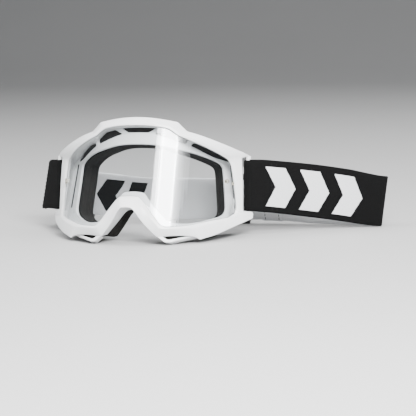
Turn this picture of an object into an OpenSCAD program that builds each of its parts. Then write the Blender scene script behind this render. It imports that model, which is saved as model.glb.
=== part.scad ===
// Motocross goggles resting on a table, with the elastic strap folded to one side.
// X runs to the wearer's left, +Y to the face, +Z up. The floor is Z = 0 and the goggles
// are symmetric about X = 0. The frame leans back, so its outlines are drawn in a leaning
// frame of its own: X across, V into the face, W up the lens.

/* [Lens] */
// Radius of the cylindrical lens, front face
lens_r = 85; // [83:1:88]
// Thickness of the lens
lens_t = 1.2; // [1:0.1:1.6]
// Gap between the lens edge and the frame, all round
lens_gap = 0.35; // [0.2:0.05:0.5]
// Radius of a tear-off post
post_r = 2; // [1.5:0.1:2.5]
// How far a tear-off post stands out of the lens
post_h = 2.4; // [1.8:0.1:3]

/* [Frame] */
// How far the frame leans back, in degrees
lean = 20; // [18:1:21]
// Thickness of the face flange
flange_t = 2.5; // [2:0.1:3]
// Radius of a strap bar
bar_r = 2.2; // [1.8:0.1:2.4]

/* [Face foam] */
// Thickness of the firm layer
base_foam_t = 6.5; // [6:0.5:7]
// Thickness of the soft layer
soft_foam_t = 5; // [4:0.5:6]
// Thickness of the fleece
fleece_t = 1.4; // [1.2:0.1:2]
// Thickness of the filter foam behind the vents
filter_t = 2; // [1.5:0.5:2.5]

/* [Strap] */
// Width of the elastic
web_w = 45; // [44:0.5:45.5]
// Thickness of the elastic
web_t = 2; // [1.6:0.1:2.2]
// Length of an adjuster along the strap
slider_l = 15; // [12:1:18]
// Width of an adjuster's bars
slider_bar = 2.6; // [2:0.1:3]

/* [Hidden] */
$fn = 48;

white_tpu = "whitesmoke";
clear_lens = [0.85, 0.9, 0.95, 0.35];
black_foam = [0.12, 0.12, 0.12];
black_web = [0.09, 0.09, 0.1];
grey_web = "lightgrey";

// Place of the leaning frame: the lens edge at the middle of the nose bridge
lean_y = -14.7;
lean_z = 42.8;

// ---- Outlines, from the middle of the brow round to the middle of the nose.
// Each station is [lens edge, outer edge, outer edge's set-back, back edge, eye edge],
// and every point is [X, W].
STATIONS = [
    [[0, 63], [0, 72], 4.5, [0, 67.5], [0, 49]],
    [[13, 63], [13, 71.5], 4.5, [13, 67], [12, 49]],
    [[26, 61.9], [25, 70.3], 4.5, [25, 66], [22, 48.3]],
    [[30.5, 60.6], [35.8, 68.9], 4.5, [33, 64.5], [30, 47.3]],
    [[33.8, 58.6], [39.8, 65.2], 5, [37.5, 61.5], [34, 46.8]],
    [[37.5, 56], [43.8, 61.5], 5, [42, 58.8], [38, 46.4]],
    [[50, 52.2], [55, 59.4], 4.5, [53, 56.5], [47, 45.6]],
    [[60, 49], [69, 55.7], 4, [65, 53], [56, 44]],
    [[69, 45.6], [81, 52.6], 2.5, [76, 49], [62, 42.6]],
    [[74, 43.3], [90.6, 50], 0, [83, 47.3], [65, 41.3]],
    [[75.8, 40.5], [89.4, 49.8], 1.5, [82, 44], [66.3, 39.3]],
    [[77, 36], [84.3, 49.6], 5, [80.3, 39.6], [67, 36]],
    [[79, 20], [86, 22], 7.5, [83, 20], [68.6, 20]],
    [[80.7, 3], [86.2, 0.4], 11, [84, 1], [70.3, 4]],
    [[80, -3], [93.5, 1.5], 5, [85.5, -3], [70, 0]],
    [[77, -8], [93.5, -4], 5, [83.5, -8], [68.5, -3.5]],
    [[71.5, -12], [85, -14.3], 4, [76, -13], [65, -7]],
    [[61.5, -17.3], [72, -26], 4.5, [67, -19.8], [54, -14.5]],
    [[54.5, -20.7], [59.5, -33.2], 4.5, [58.5, -25], [48, -17]],
    [[51.8, -21.8], [56.4, -31.5], 4.5, [55, -26.3], [45.5, -17.8]],
    [[46, -23.9], [46, -31.3], 4.5, [46, -28.6], [41, -18.7]],
    [[33, -26], [30.5, -33.7], 4.5, [31.5, -31], [34, -19.2]],
    [[29, -25.2], [25.5, -34.9], 4.5, [25.5, -30.5], [30.5, -18]],
    [[23.2, -18.7], [20, -30], 2, [19.5, -25], [25, -12.8]],
    [[17, -10.5], [13.6, -23.5], -2, [13, -18], [19, -6.8]],
    [[12, -4], [7.7, -15.2], -6.5, [8.5, -12.3], [13.5, 0.3]],
    [[8, -0.8], [4.8, -12.3], -7.8, [5, -9.6], [10, 5.5]],
    [[0, -0.3], [0, -12], -8.2, [0, -9], [0, 6.5]]
];
LAST = len(STATIONS) - 1;
RING = 2 * LAST;

// Station i of the full ring, with the mirrored half after the nose
function ring_side(i) = i <= LAST ? 1 : -1;
function ring_row(i) = STATIONS[i <= LAST ? i : RING - i];
function flip(p, side) = [side * p[0], p[1]];
function ring_outline(column) =
    [for (i = [0 : RING - 1]) flip(ring_row(i)[column], ring_side(i))];
function between(a, b, k) = a + k * (b - a);

// A ring with more points between its stations, so that solids follow the curved surfaces
ring_steps = 3;
function refined(ring) = [for (i = [0 : len(ring) - 1]) for (k = [0 : ring_steps - 1])
    between(ring[i], ring[(i + 1) % len(ring)], k / ring_steps)];

LENS_EDGE = ring_outline(0);
OUTER_EDGE = refined(ring_outline(1));
BACK_EDGE = refined(ring_outline(3));
EYE_EDGE = refined(ring_outline(4));
SET_BACK = refined([for (i = [0 : RING - 1]) ring_row(i)[2]]);
SEAT_EDGE = refined(LENS_EDGE);
RINGS = len(OUTER_EDGE);

// ---- Curved surfaces, each as V over X
function arc_v(x, r) = r - sqrt(r * r - x * x);
function lens_v(x) = arc_v(x, lens_r);
outer_r = 100;
function outer_v(x, set_back) = set_back + arc_v(x, outer_r);

// The face flange follows the face: a deep curve, then straight temples
flange_mid_v = 11;
temple_x = 68;
temple_slope = 0.95;
function face_curve(x) = flange_mid_v + 0.00787 * x * x + 0.000000514 * pow(x, 4);
function flange_v(x) = abs(x) < temple_x ? face_curve(x)
    : face_curve(temple_x) + temple_slope * (abs(x) - temple_x);
function flange_slope(x) = (flange_v(x + 0.5) - flange_v(x - 0.5));
// Direction that the foam stands in: square to the flange, but never past the temple's
function foam_slope(x) = max(-temple_slope, min(temple_slope, flange_slope(x)));
function flange_normal(x) = [-foam_slope(x), 1] / norm([foam_slope(x), 1]);
// Point on the flange at [X, W], depth mm towards the face: [X, V, W]
function on_flange(p, depth) =
    [p[0] + depth * flange_normal(p[0])[0], flange_v(p[0]) + depth * flange_normal(p[0])[1], p[1]];

module in_lean() translate([0, lean_y, lean_z]) rotate([-lean, 0, 0]) children();

// An outline in X and W, carried along V
reach_v = 120;
module along_v(outline, from_v = -20, to_v = reach_v)
    translate([0, to_v, 0]) rotate([90, 0, 0])
        linear_extrude(to_v - from_v) polygon(outline);

// A layer of the flange's curve between two depths, carried along W
plan_x = 86;
plan_step = 4;
plan_low = -45;
plan_high = 75;
module flange_layer(depth_a, depth_b) {
    xs = [for (x = [-plan_x : plan_step : plan_x]) x];
    last = len(xs) - 1;
    front = [for (x = xs) let (q = on_flange([x, 0], depth_a)) [q[0], q[1]]];
    rear = [for (i = [last : -1 : 0]) let (q = on_flange([xs[i], 0], depth_b)) [q[0], q[1]]];
    translate([0, 0, plan_low]) linear_extrude(plan_high - plan_low)
        polygon(concat(front, rear));
}

// ---- Closed solid through rings of points, joined ring to ring and back to the first
module closed_loft(rings) {
    count = len(rings);
    side = len(rings[0]);
    points = [for (ring = rings) for (p = ring) p];
    faces = [for (i = [0 : count - 1]) for (j = [0 : side - 1])
        let (a = i * side + j, b = i * side + (j + 1) % side,
             c = ((i + 1) % count) * side + (j + 1) % side,
             d = ((i + 1) % count) * side + j)
        for (triangle = [[a, c, b], [a, d, c]]) triangle];
    polyhedron(points, faces);
}

// Solid through rings of points, with a flat cap at each end
module open_loft(rings) {
    count = len(rings);
    side = len(rings[0]);
    points = [for (ring = rings) for (p = ring) p];
    walls = [for (i = [0 : count - 2]) for (j = [0 : side - 1])
        let (a = i * side + j, b = i * side + (j + 1) % side,
             c = (i + 1) * side + (j + 1) % side, d = (i + 1) * side + j)
        for (triangle = [[a, b, c], [a, c, d]]) triangle];
    first_cap = [for (j = [1 : side - 2]) [0, j + 1, j]];
    end = (count - 1) * side;
    last_cap = [for (j = [1 : side - 2]) [end, end + j, end + j + 1]];
    polyhedron(points, concat(walls, first_cap, last_cap));
}

// ---- Frame
lip = 1;
shell_back = 4;
shell_front = -0.6;
function shell_ring(i) =
    let (lens_p = SEAT_EDGE[i], outer_p = OUTER_EDGE[i], back_p = BACK_EDGE[i],
         seat_p = between(lens_p, back_p, 0.35))
    [[lens_p[0], lens_v(lens_p[0]) - lip, lens_p[1]],
     on_flange(seat_p, shell_front),
     on_flange(back_p, shell_back),
     [outer_p[0], outer_v(outer_p[0], SET_BACK[i]), outer_p[1]]];

module frame_shell() color(white_tpu) in_lean()
    closed_loft([for (i = [0 : RINGS - 1]) shell_ring(i)]);

// Vent windows through the face flange, each as [X, W] for the wearer's left side
centre_vent = [[-16, 64], [16, 64], [9.5, 59.6], [-9.5, 59.6]];
brow_vent = [[23.5, 63.2], [34, 62.2], [39, 59.8], [42, 56], [40, 52.4], [15, 58.6]];
temple_vent = [[44, 51.6], [46, 55], [55, 54.2], [66, 50.2], [71.4, 47.4], [72, 45], [60, 45.8]];
side_slot = [[71.2, 43], [73.6, 43], [79.2, 3.3], [76.8, 3.3]];
function mirrored(outline) = [for (p = outline) [-p[0], p[1]]];

module face_flange() color(white_tpu) in_lean() difference() {
    intersection() {
        flange_layer(0, flange_t);
        along_v([for (i = [0 : RINGS - 1]) between(EYE_EDGE[i], BACK_EDGE[i], 0.97)]);
    }
    along_v(EYE_EDGE);
    along_v(centre_vent);
    for (vent = [brow_vent, temple_vent, side_slot]) {
        along_v(vent);
        along_v(mirrored(vent));
    }
}

// ---- Strap bars, which stand between the upper and lower horns
BAR_LOW = [88.7, 52.5, 21.6];
BAR_HIGH = [88.7, 56.46, 67.2];
bar_dir = (BAR_HIGH - BAR_LOW) / norm(BAR_HIGH - BAR_LOW);
bar_extra = 2.6;
bar_tip_x = atan2(bar_dir[1], bar_dir[2]);
bar_tip_y = asin(bar_dir[0]);
module strap_bar() color(white_tpu)
    translate(BAR_LOW - bar_extra * bar_dir) rotate([-bar_tip_x, bar_tip_y, 0])
        cylinder(r = bar_r, h = norm(BAR_HIGH - BAR_LOW) + 2 * bar_extra);
module strap_bar_left() strap_bar();
module strap_bar_right() mirror([1, 0, 0]) strap_bar();

// ---- Vent blades under the lower rim, the feet that the goggles lean on
blade_front = 4;
blade_rear = 11.8;
blade = [[55.5, -30.5], [36.2, -38.3], [31.5, -38.3], [25.5, -34],
    [30, -33.4], [33.2, -35.8], [35.6, -35.8], [49.5, -31]];
module lens_layer(front, rear) difference() {
    translate([0, lens_r + front, plan_low]) cylinder(r = lens_r, h = 120, $fn = 120);
    translate([0, lens_r + rear, plan_low - 1]) cylinder(r = lens_r, h = 122, $fn = 120);
}
module vent_blade() color(white_tpu) in_lean() intersection() {
    lens_layer(blade_front, blade_rear);
    along_v(blade, -5, 60);
}
module vent_blade_left() vent_blade();
module vent_blade_right() mirror([1, 0, 0]) vent_blade();

// ---- Lens
function inset_point(outline, i, gap) =
    let (n = len(outline), a = outline[(i + n - 1) % n], b = outline[i], c = outline[(i + 1) % n],
         u = (b - a) / norm(b - a), v = (c - b) / norm(c - b),
         nu = [u[1], -u[0]], nv = [v[1], -v[0]], m = (nu + nv) / (1 + nu * nv))
    b + gap * m;
function inset(outline, gap) =
    [for (i = [0 : len(outline) - 1]) inset_point(outline, i, gap)];

module lens() color(clear_lens) in_lean() intersection() {
    lens_layer(0, lens_t);
    along_v(inset(LENS_EDGE, lens_gap), -5, 60);
}

post_x = 73.8;
post_w = 23.1;
post_turn = asin(post_x / lens_r);
post_sink = 0.1;
module tear_off_post(side) color(clear_lens) in_lean()
    translate([side * post_x, lens_v(post_x), post_w]) rotate([90, 0, side * post_turn])
        translate([0, 0, -post_sink]) cylinder(r = post_r, h = post_h + post_sink);
module tear_off_post_left() tear_off_post(1);
module tear_off_post_right() tear_off_post(-1);

// ---- Filter foams behind the vents
filter_gap = 0.15;
top_filter = [[0, 64.6], [24, 63.6], [35, 61], [40.6, 56.6], [46, 55.2], [56, 54.1], [66.6, 50.3],
    [72, 47.9], [72.6, 44.6], [60, 45.4], [44, 50.6], [36, 51.2], [0, 57.6]];
side_filter = [[71, 43.3], [74.4, 43.3], [79.6, 3.1], [75.6, 3.1]];
function both_sides(half) =
    concat(half, [for (i = [len(half) - 1 : -1 : 0]) [-half[i][0], half[i][1]]]);

module filter_layer() flange_layer(flange_t + filter_gap, flange_t + filter_t);
module top_filter_foam() color(black_foam) in_lean() intersection() {
    filter_layer();
    along_v(both_sides(top_filter));
}
module side_filter_foam() color(black_foam) in_lean() intersection() {
    filter_layer();
    along_v(side_filter);
}
module side_filter_foam_left() side_filter_foam();
module side_filter_foam_right() mirror([1, 0, 0]) side_filter_foam();

bottom_filter = [[48, -31.4], [46, -30.6], [36, -32.2], [31.6, -33], [31.6, -34.6],
    [33.4, -35.6], [35.5, -35.6]];
module bottom_filter_foam() color(black_foam) in_lean() intersection() {
    lens_layer(blade_front + 3, blade_rear - 0.5);
    along_v(bottom_filter, -5, 60);
}
module bottom_filter_foam_left() bottom_filter_foam();
module bottom_filter_foam_right() mirror([1, 0, 0]) bottom_filter_foam();

// ---- Face foam: three layers, each squared to the flange
foam_start = flange_t + filter_t + 3 * filter_gap;
foam_reach = 0.9;
function foam_ring(i, near, far) =
    let (outer_p = between(EYE_EDGE[i], BACK_EDGE[i], foam_reach),
         inner_p = between(EYE_EDGE[i], BACK_EDGE[i], 0.03))
    [on_flange(inner_p, near), on_flange(inner_p, far),
     on_flange(outer_p, far), on_flange(outer_p, near)];
module foam_layer(near, far)
    closed_loft([for (i = [0 : RINGS - 1]) foam_ring(i, near, far)]);

base_end = foam_start + base_foam_t;
soft_end = base_end + soft_foam_t;
module face_foam_base() color(black_foam) in_lean() foam_layer(foam_start, base_end);
layer_gap = 0.15;
module face_foam_soft() color(black_foam) in_lean() foam_layer(base_end + layer_gap, soft_end);
module face_fleece() color(black_foam) in_lean()
    foam_layer(soft_end + layer_gap, soft_end + fleece_t);

// ---- Strap: a flat band through stations, each as [lower edge, lean of the width]
function curve_point(a, b, c, d, t) =
    0.5 * (2 * b + t * (c - a) + t * t * (2 * a - 5 * b + 4 * c - d)
        + t * t * t * (3 * b - a - 3 * c + d));
function curve(points, steps) =
    let (n = len(points))
    concat([for (i = [0 : n - 2]) for (k = [0 : steps - 1])
        curve_point(points[max(i - 1, 0)], points[i], points[i + 1],
            points[min(i + 2, n - 1)], k / steps)], [points[n - 1]]);
function unit(v) = v / norm(v);

// A ring of four corners round each station
function band_rings(edge, tops) = [for (i = [0 : len(edge) - 1])
    let (n = len(edge), along = unit(edge[min(i + 1, n - 1)] - edge[max(i - 1, 0)]),
         up = unit(tops[i]), across = unit(cross(along, up)) * web_t / 2)
    [edge[i] - across, edge[i] + across,
     edge[i] + across + up * web_w, edge[i] - across + up * web_w]];
module band(edge, tops) open_loft(band_rings(edge, tops));

// Directions along and across a straight run of strap, which is tilted to fall towards +X,
// then turned about Z. Its top edge leans towards the front.
function turned(v, turn) =
    [v[0] * cos(turn) - v[1] * sin(turn), v[0] * sin(turn) + v[1] * cos(turn), v[2]];
function run_along(turn, tilt) = turned([cos(tilt), 0, -sin(tilt)], turn);
function run_up(top_lean, tilt, turn) =
    turned([cos(top_lean) * sin(tilt), -sin(top_lean), cos(top_lean) * cos(tilt)], turn);

// The loop round a strap bar, for the wearer's left side
loop_r = bar_r + 0.08 + web_t / 2;
front_turn = 31;
out_angle = front_turn - 90;
front_out = [cos(out_angle), sin(out_angle), 0];
function loop_edge(angle) = BAR_LOW + loop_r * [cos(angle), sin(angle), 0];
front_start = loop_edge(out_angle);

// Front run of the strap, from the left bar towards the fold
FRONT_EDGE = [front_start, [108, 59.8, 18.8], [128, 72.2, 14.8], [155, 88.7, 9], [180, 103.2, 3.2]];
FRONT_UP = [bar_dir, [0, 2, 45], [1.5, 2, 45], [3.5, 1.5, 45], [5, 1, 45]];

// Each adjuster sits on a straight run:
// [middle of the lower edge, top lean, tilt, turn, spacing of the stations]
LEFT_RUN = [[64, 121, 4.2], 26, 0, 2, 12];
RIGHT_RUN = [[-78, 114.5, 8], 20, 7, 12, 10.2];
function run_points(run) =
    [for (k = [2.5 : -1 : -2.5]) run[0] + k * run[4] * run_along(run[3], run[2])];
function run_ups(run) = [for (k = [2.5 : -1 : -2.5]) run_up(run[1], run[2], run[3])];

// The fold and the run behind the face, to the bend on the wearer's right
FOLD_EDGE = [[189.5, 108.4, 1.3], [194.5, 111.6, 0.7], [194.3, 116.2, 0.3], [188, 118.3, 0.2],
    [172, 119.5, 0.2], [150, 119.8, 0.6], [128, 120, 1.6], [110, 121.2, 3]];
FOLD_UP = [[6, 1, 45], [6.5, 1, 45], [6.3, 0, 45], [6, -2, 45], [5, -5, 45],
    [3.5, -10, 44], [2, -15, 43], [1, -19, 42]];
MIDDLE_EDGE = [[16, 119.4, 3.8], [-6, 120.2, 3.4], [-26, 122, 3.5], [-42, 121.6, 4.2]];
MIDDLE_UP = [[0, -19, 42], [-0.5, -18.5, 42], [0.5, -17.5, 42], [3, -16.5, 42]];
BEND_EDGE = [[-111, 103, 13.6], [-116, 94, 16], [-117, 85, 17.3], [-115.5, 77, 18]];
BEND_UP = [[8, -10, 43], [10, -6, 44], [11, -3, 44], [10, -1, 44.5]];

// The short run from the bend forward to the bar on the wearer's right
function across_x(v) = [-v[0], v[1], v[2]];
SIDE_EDGE = [[-111, 67.5, 19.8], [-102, 57.5, 21.2], across_x(front_start)];
SIDE_UP = [[8, 1, 44.5], [4, 2, 45], across_x(bar_dir)];

edge_steps = 5;
BACK_EDGES = concat(FOLD_EDGE, run_points(LEFT_RUN), MIDDLE_EDGE, run_points(RIGHT_RUN), BEND_EDGE);
BACK_UPS = concat(FOLD_UP, run_ups(LEFT_RUN), MIDDLE_UP, run_ups(RIGHT_RUN), BEND_UP);
STRAP_EDGE = curve(concat(FRONT_EDGE, BACK_EDGES, SIDE_EDGE), edge_steps);
STRAP_UP = curve([for (up = concat(FRONT_UP, BACK_UPS, SIDE_UP)) unit(up)], edge_steps);
STRAP_RINGS = band_rings(STRAP_EDGE, STRAP_UP);
fold_at = edge_steps * len(FRONT_EDGE);
bend_at = edge_steps * (len(FRONT_EDGE) + len(BACK_EDGES) - 1);
strap_end = len(STRAP_EDGE) - 1;
function stretch(list, first, last) = [for (i = [first : last]) list[i]];
module strap_left() color(black_web) open_loft(stretch(STRAP_RINGS, 0, fold_at));
module strap_back() color(grey_web) open_loft(stretch(STRAP_RINGS, fold_at, bend_at));
module strap_right() color(black_web) open_loft(stretch(STRAP_RINGS, bend_at, strap_end));

// Direction out of the strap's outer face at station i
function strap_out(i) = unit(cross(unit(STRAP_EDGE[i + 1] - STRAP_EDGE[i - 1]), STRAP_UP[i]));
function strap_turn(i) =
    let (along = STRAP_EDGE[i + 1] - STRAP_EDGE[i - 1]) atan2(along[1], along[0]);

// Each loop goes round its bar, then its tail closes up to the inside of the strap
loop_turn = 15;
lap = web_t + 0.2;
lap_slope = 0.34;
lap_from = 3;
LEFT_TAIL = [for (k = [1 : 8]) k];
RIGHT_TAIL = [for (k = [2 : 14]) strap_end - k];
function tail_gap(from_bar) = max(lap, 2 * loop_r - lap_slope * max(0, from_bar - lap_from));
function tail_point(i, bar_at) =
    STRAP_EDGE[i] - tail_gap(norm(STRAP_EDGE[i] - STRAP_EDGE[bar_at])) * strap_out(i);
ROUND_BAR = [for (k = [0 : 12]) loop_edge(out_angle - k * loop_turn)];
module strap_loop_left() color(black_web)
    band(concat(ROUND_BAR, [for (i = LEFT_TAIL) tail_point(i, 0)]),
        concat([for (p = ROUND_BAR) bar_dir], [for (i = LEFT_TAIL) STRAP_UP[i]]));
module strap_loop_right() color(black_web)
    band(concat([for (p = ROUND_BAR) across_x(p)],
            [for (i = RIGHT_TAIL) tail_point(i, strap_end)]),
        concat([for (p = ROUND_BAR) across_x(bar_dir)], [for (i = RIGHT_TAIL) STRAP_UP[i]]));

// The lapped join inside the back of the strap, just outboard of the left adjuster
join_first = fold_at + 7 * edge_steps + 2;
join_last = fold_at + 8 * edge_steps + 4;
join_offset = web_t + 0.05;
JOIN = [for (i = [join_first : join_last]) i];
module strap_join() color(grey_web)
    band([for (i = JOIN) STRAP_EDGE[i] - join_offset * strap_out(i)],
        [for (i = JOIN) STRAP_UP[i]]);

// ---- Stitching: rows of short threads that lie on the webbing
stitch = [0.5, 0.35, 2.2];
stitch_pitch = 3.6;
stitch_count = 12;
stitch_margin = 2;
stitch_lift = web_t / 2 + 0.2;
module stitch_row(i, out) for (k = [0 : stitch_count - 1])
    translate(STRAP_EDGE[i] + out * strap_out(i) + (stitch_margin + k * stitch_pitch) * STRAP_UP[i])
        rotate([0, 0, strap_turn(i)]) translate([-stitch[0] / 2, -stitch[1] / 2, 0]) cube(stitch);
LOOP_ROWS = [5, 6, strap_end - 10, strap_end - 13];
module loop_stitching() color(grey_web) for (i = LOOP_ROWS) stitch_row(i, stitch_lift);
module join_stitching() color(grey_web)
    for (i = [join_first + 1, join_last - 1]) stitch_row(i, -join_offset - stitch_lift);

// ---- Adjusters: the strap passes in front of the outer bars and behind the middle one
slider_gap = 0.25;
slider_d = 2;
// How far the right adjuster sits from the middle of its run
right_shift = -8;
module adjuster(run, shift) color([0.1, 0.1, 0.1])
translate(run[0]) rotate([run[1], run[2], run[3]]) translate([shift, 0, 0]) {
    depth = web_t / 2 + slider_gap;
    tall = web_w + 2 * slider_gap;
    for (x = [-slider_l / 2, slider_l / 2 - slider_bar])
        translate([x, depth, -slider_gap]) cube([slider_bar, slider_d, tall]);
    translate([-slider_bar / 2, -depth - slider_d, -slider_gap])
        cube([slider_bar, slider_d, tall]);
    for (z = [-slider_gap - slider_bar, web_w + slider_gap])
        translate([-slider_l / 2, -depth - slider_d, z])
            cube([slider_l, 2 * (depth + slider_d), slider_bar]);
}
module adjuster_left() adjuster(LEFT_RUN, 0);
module adjuster_right() adjuster(RIGHT_RUN, right_shift);

frame_shell();
face_flange();
strap_bar_left();
strap_bar_right();
vent_blade_left();
vent_blade_right();
lens();
tear_off_post_left();
tear_off_post_right();
top_filter_foam();
side_filter_foam_left();
side_filter_foam_right();
bottom_filter_foam_left();
bottom_filter_foam_right();
face_foam_base();
face_foam_soft();
face_fleece();
strap_left();
strap_right();
strap_back();
strap_loop_left();
strap_loop_right();
strap_join();
loop_stitching();
join_stitching();
adjuster_left();
adjuster_right();
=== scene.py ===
"""Motocross goggles: the looks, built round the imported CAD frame.

Row frame: +X to the wearer's left, +Y towards the face, +Z up, floor at Z = 0. The goggles lean back,
so most outlines are drawn in the leaning frame X, V (into the face), W (up the lens), in millimetres.
"""
import math

import bmesh
import bpy
import numpy as np
from mathutils import Matrix, Vector


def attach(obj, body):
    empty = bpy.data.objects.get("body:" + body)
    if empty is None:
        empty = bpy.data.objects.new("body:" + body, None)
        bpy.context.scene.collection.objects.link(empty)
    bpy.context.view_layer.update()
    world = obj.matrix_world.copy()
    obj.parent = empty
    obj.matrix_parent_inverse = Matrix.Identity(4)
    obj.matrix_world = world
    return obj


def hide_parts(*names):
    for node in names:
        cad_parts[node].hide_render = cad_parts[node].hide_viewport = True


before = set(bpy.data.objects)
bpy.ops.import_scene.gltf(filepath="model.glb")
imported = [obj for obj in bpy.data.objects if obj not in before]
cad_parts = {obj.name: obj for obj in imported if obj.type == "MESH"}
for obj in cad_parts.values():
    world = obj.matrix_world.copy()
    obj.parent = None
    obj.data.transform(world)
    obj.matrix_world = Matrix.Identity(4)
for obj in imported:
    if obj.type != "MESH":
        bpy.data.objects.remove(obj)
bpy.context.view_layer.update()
MM = 0.001

# ---------------------------------------------------------------- camera
CAM_AZIMUTH, CAM_ELEVATION, CAM_ROLL = 16.37, 7.48, -1.61
CAM_DISTANCE = 1.661
CAM_TARGET = Vector((0.06658, 0.0, 0.03079))
SENSOR = 36.0
FOCAL_IN_FRAMES = 1923.0 / 416.0
CLIP_NEAR, CLIP_FAR = 0.05, 50


def make_camera():
    data = bpy.data.cameras.new("camera")
    data.sensor_width = SENSOR
    data.lens = FOCAL_IN_FRAMES * SENSOR
    data.clip_start, data.clip_end = CLIP_NEAR, CLIP_FAR
    cam = bpy.data.objects.new("camera", data)
    bpy.context.scene.collection.objects.link(cam)
    a, e, r = (math.radians(x) for x in (CAM_AZIMUTH, CAM_ELEVATION, CAM_ROLL))
    back = Vector((math.sin(a) * math.cos(e), -math.cos(a) * math.cos(e), math.sin(e)))
    right = Vector((math.cos(a), math.sin(a), 0))
    up = back.cross(right)
    right_rolled = right * math.cos(r) + up * math.sin(r)
    up_rolled = up * math.cos(r) - right * math.sin(r)
    facing = Matrix((right_rolled, up_rolled, back)).transposed().to_4x4()
    cam.matrix_world = Matrix.Translation(CAM_TARGET + back * CAM_DISTANCE) @ facing
    bpy.context.scene.camera = cam


# ---------------------------------------------------------------- the leaning frame and its surfaces
LEAN = math.radians(20)
LEAN_Y, LEAN_Z = -14.7, 42.8
LENS_R, OUTER_R, LENS_T = 85.0, 100.0, 1.2
TEMPLE_X, TEMPLE_SLOPE = 68.0, 0.95
FLANGE_T, FILTER_T, FILTER_GAP = 2.5, 2.0, 0.15


def to_row(points):
    """Points [X, V, W] of the leaning frame, in mm, as row-frame metres."""
    p = np.asarray(points, float)
    y = LEAN_Y + p[..., 1] * math.cos(LEAN) + p[..., 2] * math.sin(LEAN)
    z = LEAN_Z - p[..., 1] * math.sin(LEAN) + p[..., 2] * math.cos(LEAN)
    return np.stack([p[..., 0], y, z], -1) * MM


def arc_v(x, r):
    return r - np.sqrt(r * r - x * x)


def lens_v(x):
    return arc_v(x, LENS_R)


def face_curve(x):
    return 11 + 0.00787 * x * x + 0.000000514 * x**4


def flange_v(x):
    x = np.abs(np.asarray(x, float))
    temple = face_curve(TEMPLE_X) + TEMPLE_SLOPE * (x - TEMPLE_X)
    return np.where(x < TEMPLE_X, face_curve(x), temple)


def on_flange(xw, depth):
    """[X, W] points moved depth mm off the face flange, square to it, as [X, V, W]."""
    xw = np.asarray(xw, float)
    slope = flange_v(xw[..., 0] + 0.5) - flange_v(xw[..., 0] - 0.5)
    slope = np.clip(slope, -TEMPLE_SLOPE, TEMPLE_SLOPE)
    long = np.hypot(slope, 1)
    x = xw[..., 0] - depth * slope / long
    return np.stack([x, flange_v(xw[..., 0]) + depth / long, xw[..., 1]], -1)


def on_lens(xw, depth):
    xw = np.asarray(xw, float)
    return np.stack([xw[..., 0], lens_v(xw[..., 0]) + depth, xw[..., 1]], -1)


# Half-ring stations from the brow round to the nose:
# lens edge, outer edge with its set-back, back edge, eye edge, all [X, W]
STATIONS = [
    ((0, 63), (0, 72, 4.5), (0, 67.5), (0, 49)),
    ((13, 63), (13, 71.5, 4.5), (13, 67), (12, 49)),
    ((26, 61.9), (25, 70.3, 4.5), (25, 66), (22, 48.3)),
    ((30.5, 60.6), (35.8, 68.9, 4.5), (33, 64.5), (30, 47.3)),
    ((33.8, 58.6), (39.8, 65.2, 5), (37.5, 61.5), (34, 46.8)),
    ((37.5, 56), (43.8, 61.5, 5), (42, 58.8), (38, 46.4)),
    ((50, 52.2), (55, 59.4, 4.5), (53, 56.5), (47, 45.6)),
    ((60, 49), (69, 55.7, 4), (65, 53), (56, 44)),
    ((69, 45.6), (81, 52.6, 2.5), (76, 49), (62, 42.6)),
    ((74, 43.3), (90.6, 50, 0), (83, 47.3), (65, 41.3)),
    ((75.8, 40.5), (89.4, 49.8, 1.5), (82, 44), (66.3, 39.3)),
    ((77, 36), (84.3, 49.6, 5), (80.3, 39.6), (67, 36)),
    ((79, 20), (86, 22, 7.5), (83, 20), (68.6, 20)),
    ((80.7, 3), (86.2, 0.4, 11), (84, 1), (70.3, 4)),
    ((80, -3), (93.5, 1.5, 5), (85.5, -3), (70, 0)),
    ((77, -8), (93.5, -4, 5), (83.5, -8), (68.5, -3.5)),
    ((71.5, -12), (85, -14.3, 4), (76, -13), (65, -7)),
    ((61.5, -17.3), (72, -26, 4.5), (67, -19.8), (54, -14.5)),
    ((54.5, -20.7), (59.5, -33.2, 4.5), (58.5, -25), (48, -17)),
    ((51.8, -21.8), (56.4, -31.5, 4.5), (55, -26.3), (45.5, -17.8)),
    ((46, -23.9), (46, -31.3, 4.5), (46, -28.6), (41, -18.7)),
    ((33, -26), (30.5, -33.7, 4.5), (31.5, -31), (34, -19.2)),
    ((29, -25.2), (25.5, -34.9, 4.5), (25.5, -30.5), (30.5, -18)),
    ((23.2, -18.7), (20, -30, 2), (19.5, -25), (25, -12.8)),
    ((17, -10.5), (13.6, -23.5, -2), (13, -18), (19, -6.8)),
    ((12, -4), (7.7, -15.2, -6.5), (8.5, -12.3), (13.5, 0.3)),
    ((8, -0.8), (4.8, -12.3, -7.8), (5, -9.6), (10, 5.5)),
    ((0, -0.3), (0, -12, -8.2), (0, -9), (0, 6.5)),
]
LAST = len(STATIONS) - 1
LENS, OUTER, BACK, EYE = range(4)


def full_ring(column):
    half = [np.array(row[column], float) for row in STATIONS]
    flip = np.array([-1, 1, 1])[: len(half[0])]
    return np.array(half + [half[i] * flip for i in range(LAST - 1, 0, -1)])


CORNER_SHARE = 0.42


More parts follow.
